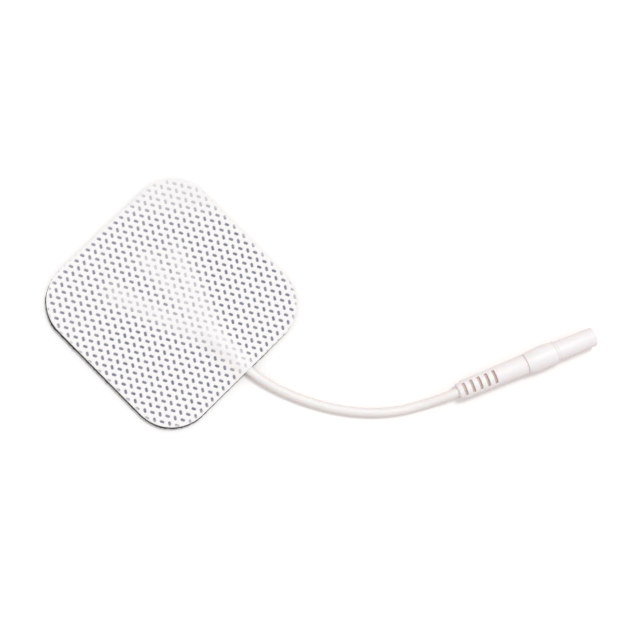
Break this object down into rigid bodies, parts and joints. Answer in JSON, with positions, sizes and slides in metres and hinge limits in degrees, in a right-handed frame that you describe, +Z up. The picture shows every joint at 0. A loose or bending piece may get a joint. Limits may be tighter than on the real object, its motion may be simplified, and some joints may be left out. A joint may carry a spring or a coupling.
{
  "type": "tens electrode pad",
  "caption": "Self-adhesive square stimulation electrode: embossed white fabric over carbon film and hydrogel, with a short moulded lead that ends in a socket for a 2 mm pin.",
  "frame": {"origin": "middle of the pad's outline, on the gel's lower face, which lies on the skin", "axes": "+Z up through the fabric, +X towards the edge that the lead leaves, +Y along that edge towards the side that the lead curves to"},
  "size_m": [0.1071, 0.0959, 0.0059],
  "materials": {
    "fabric": "matt white nonwoven with an embossed dash pattern",
    "carbon_film": "satin black carbon-loaded film",
    "hydrogel": "wet, slightly milky clear gel",
    "lead_jacket": "soft white PVC, slight sheen",
    "boot_pvc": "soft moulded white PVC, slight sheen",
    "sleeve_pvc": "moulded white plastic, satin gloss",
    "contact": "bright plated brass",
    "conductor": "fine bright strands"
  },
  "bodies": {
    "root": {"hydrogel": "hydrogel", "carbon_film": "carbon_film", "fabric_backing": "fabric", "jacket_in_pad": "lead_jacket", "conductor_in_pad": "conductor", "lead_cable": "lead_jacket", "strain_relief_boot": "boot_pvc", "connector_sleeve": "sleeve_pvc", "contact_socket": "contact", "jacket_in_boot": "lead_jacket", "conductor_in_boot": "conductor"}
  },
  "joints": []
}
